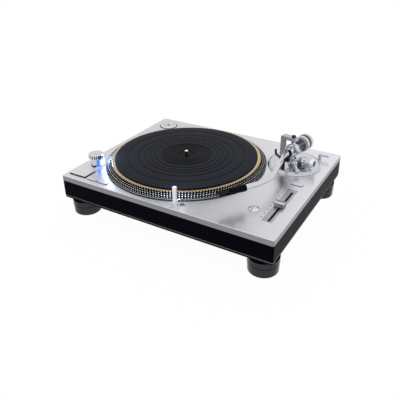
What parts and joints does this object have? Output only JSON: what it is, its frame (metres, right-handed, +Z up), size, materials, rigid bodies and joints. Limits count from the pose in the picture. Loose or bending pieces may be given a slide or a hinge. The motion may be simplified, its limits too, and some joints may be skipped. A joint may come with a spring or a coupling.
{
  "type": "turntable",
  "caption": "Direct-drive record player: silver top, black plinth on screw feet, strobe-rimmed platter with mat, and an S-shaped gimbal tonearm with counterweight.",
  "frame": {"origin": "centre of the bounding box at floor level, under the feet", "axes": "+X right along the longest side, +Y to the rear with the sockets, +Z up"},
  "size_m": [0.453, 0.358, 0.1496],
  "materials": {
    "panel_silver": "brushed satin",
    "shell_black": "satin black",
    "rubber_black": "matte",
    "foot_grey": "satin dark grey",
    "screw_steel": "plated",
    "platter_alloy": "turned, anodised",
    "brass": "brushed",
    "mat_rubber": "matte",
    "spindle_steel": "polished",
    "magnet": "plated",
    "board_green": "solder resist",
    "coil_copper": "enamelled",
    "black_plastic": "satin",
    "bright_metal": "polished",
    "satin_metal": "satin",
    "clear_lens": "clear",
    "gold": "plated",
    "headshell_black": "anodised"
  },
  "bodies": {
    "plinth": {"top_panel": "panel_silver", "base_shell": "shell_black", "lower_base": "rubber_black", "plinth_screws": "screw_steel", "stator_coils": "coil_copper", "bearing_housing": "satin_metal", "control_board": "board_green", "power_supply_board": "board_green", "pitch_potentiometer": "black_plastic", "slider_plate": "satin_metal", "strobe_tower": "bright_metal", "strobe_window": "clear_lens", "lamp_sleeve": "bright_metal", "shell_socket": "black_plastic", "socket_cap": "bright_metal", "lock_post": "satin_metal", "terminal_tray": "black_plastic", "signal_terminals": "gold", "mains_inlet": "black_plastic"},
    "platter": {"platter": "platter_alloy", "brass_plate": "brass", "platter_damper": "rubber_black", "platter_mat": "mat_rubber", "spindle_shaft": "spindle_steel", "rotor_magnet": "magnet"},
    "start_stop_button": {"start_stop_button": "panel_silver"},
    "speed_button_33": {"speed_button_33": "panel_silver"},
    "speed_button_45": {"speed_button_45": "panel_silver"},
    "reset_button": {"reset_button": "panel_silver"},
    "lamp_button": {"lamp_button": "bright_metal"},
    "power_dial": {"power_dial": "bright_metal"},
    "target_lamp": {"target_lamp": "bright_metal", "target_lamp_lens": "clear_lens"},
    "slider_knob": {"slider_knob": "satin_metal"},
    "record_adapter": {"record_adapter": "satin_metal"},
    "height_ring": {"height_ring": "bright_metal"},
    "lock_lever": {"lock_lever": "satin_metal"},
    "arm_base": {"arm_base": "satin_metal", "gimbal_arch": "satin_metal", "pivot_screw": "black_plastic", "arm_rest": "black_plastic"},
    "arm_clamp": {"arm_clamp": "black_plastic"},
    "lift_bar": {"lift_bar": "black_plastic"},
    "cue_lever": {"cue_lever": "satin_metal"},
    "side_force_dial": {"side_force_dial": "black_plastic"},
    "gimbal_carrier": {"gimbal_carrier": "satin_metal"},
    "tonearm": {"arm_barrel": "satin_metal", "arm_tube": "bright_metal", "headshell": "headshell_black", "finger_lift": "bright_metal"},
    "shell_collar": {"shell_collar": "satin_metal"},
    "tracking_dial": {"tracking_dial": "black_plastic"},
    "counterweight": {"counterweight": "bright_metal"},
    "foot_front_left": {"foot_front_left": "foot_grey"},
    "foot_rear_left": {"foot_rear_left": "foot_grey"},
    "foot_front_right": {"foot_front_right": "foot_grey"},
    "foot_rear_right": {"foot_rear_right": "foot_grey"}
  },
  "joints": [
    {"name": "platter_spin", "type": "hinge", "parent": "plinth", "child": "platter", "pos_m": [-0.0462, -0.0025, 0.086], "axis": [0, 0, -1], "continuous": true},
    {"name": "start_stop_press", "type": "slide", "parent": "plinth", "child": "start_stop_button", "axis": [0, 0, -1], "range_m": [0, 0.0015], "stiffness_N_per_m": 500, "springref_m": -0.002},
    {"name": "speed_33_press", "type": "slide", "parent": "plinth", "child": "speed_button_33", "axis": [0, 0, -1], "range_m": [0, 0.0015], "stiffness_N_per_m": 500, "springref_m": -0.001},
    {"name": "speed_45_press", "type": "slide", "parent": "plinth", "child": "speed_button_45", "axis": [0, 0, -1], "range_m": [0, 0.0015], "stiffness_N_per_m": 500, "springref_m": -0.001},
    {"name": "reset_press", "type": "slide", "parent": "plinth", "child": "reset_button", "axis": [0, 0, -1], "range_m": [0, 0.0015], "stiffness_N_per_m": 500, "springref_m": -0.001},
    {"name": "lamp_press", "type": "slide", "parent": "plinth", "child": "lamp_button", "axis": [0, 0, -1], "range_m": [0, 0.0015], "stiffness_N_per_m": 500, "springref_m": -0.001},
    {"name": "power_turn", "type": "hinge", "parent": "plinth", "child": "power_dial", "pos_m": [-0.195, -0.11101, 0.086], "axis": [0, 0, -1], "range_deg": [0, 45]},
    {"name": "target_lamp_slide", "type": "slide", "parent": "plinth", "child": "target_lamp", "axis": [0, 0, -1], "range_m": [0, 0.028], "stiffness_N_per_m": 40, "springref_m": -0.012},
    {"name": "pitch_slide", "type": "slide", "parent": "plinth", "child": "slider_knob", "axis": [0, 1, 0], "range_m": [-0.05, 0.05]},
    {"name": "adapter_lift", "type": "slide", "parent": "plinth", "child": "record_adapter", "axis": [0, 0, 1], "range_m": [0, 0.03]},
    {"name": "height_ring_turn", "type": "hinge", "parent": "plinth", "child": "height_ring", "pos_m": [0.1555, 0.09, 0.086], "axis": [0, 0, 1], "range_deg": [0, 180]},
    {"name": "arm_height_slide", "type": "slide", "parent": "plinth", "child": "arm_base", "axis": [0, 0, 1], "range_m": [0, 0.006]},
    {"name": "lock_swing", "type": "hinge", "parent": "plinth", "child": "lock_lever", "pos_m": [0.19336, 0.13846, 0.0943], "axis": [0, 0, -1], "range_deg": [0, 35]},
    {"name": "clamp_swing", "type": "hinge", "parent": "arm_base", "child": "arm_clamp", "pos_m": [0.15739, 0.04505, 0.1195], "axis": [-0.1495, -0.9888, 0], "range_deg": [0, 80]},
    {"name": "cue_turn", "type": "hinge", "parent": "arm_base", "child": "cue_lever", "pos_m": [0.16349, 0.06587, 0.101], "axis": [-0.8151, -0.5793, 0], "range_deg": [0, 50]},
    {"name": "lift_bar_slide", "type": "slide", "parent": "arm_base", "child": "lift_bar", "axis": [0, 0, -1], "range_m": [0, 0.005]},
    {"name": "side_force_turn", "type": "hinge", "parent": "arm_base", "child": "side_force_dial", "pos_m": [0.19441, 0.07637, 0.104], "axis": [0.9888, -0.1495, 0], "range_deg": [0, 300]},
    {"name": "arm_swing", "type": "hinge", "parent": "arm_base", "child": "gimbal_carrier", "pos_m": [0.1515, 0.0869, 0.119], "axis": [0, 0, -1], "range_deg": [0, 43]},
    {"name": "arm_tilt", "type": "hinge", "parent": "gimbal_carrier", "child": "tonearm", "pos_m": [0.1515, 0.0869, 0.119], "axis": [-0.9888, 0.1495, 0], "range_deg": [0, 8]},
    {"name": "collar_turn", "type": "hinge", "parent": "tonearm", "child": "shell_collar", "pos_m": [0.13731, -0.09988, 0.119], "axis": [-0.5388, -0.8425, 0], "range_deg": [0, 50]},
    {"name": "weight_slide", "type": "slide", "parent": "tonearm", "child": "tracking_dial", "axis": [0.1495, 0.9888, 0], "range_m": [-0.004, 0.008]},
    {"name": "weight_turn", "type": "hinge", "parent": "tracking_dial", "child": "counterweight", "pos_m": [0.15569, 0.11459, 0.119], "axis": [0.1495, 0.9888, 0], "range_deg": [-240, 480]},
    {"name": "foot_front_left_screw", "type": "slide", "parent": "plinth", "child": "foot_front_left", "axis": [0, 0, -1], "range_m": [0, 0.008]},
    {"name": "foot_rear_left_screw", "type": "slide", "parent": "plinth", "child": "foot_rear_left", "axis": [0, 0, -1], "range_m": [0, 0.008]},
    {"name": "foot_front_right_screw", "type": "slide", "parent": "plinth", "child": "foot_front_right", "axis": [0, 0, -1], "range_m": [0, 0.008]},
    {"name": "foot_rear_right_screw", "type": "slide", "parent": "plinth", "child": "foot_rear_right", "axis": [0, 0, -1], "range_m": [0, 0.008]}
  ],
  "couplings": [
    {"joint": "height_ring_turn", "follows": "arm_height_slide", "rad_per_m": 523.6},
    {"joint": "lift_bar_slide", "follows": "cue_turn", "m_per_rad": 0.0057296},
    {"joint": "weight_slide", "follows": "weight_turn", "m_per_rad": 0.00095493}
  ]
}
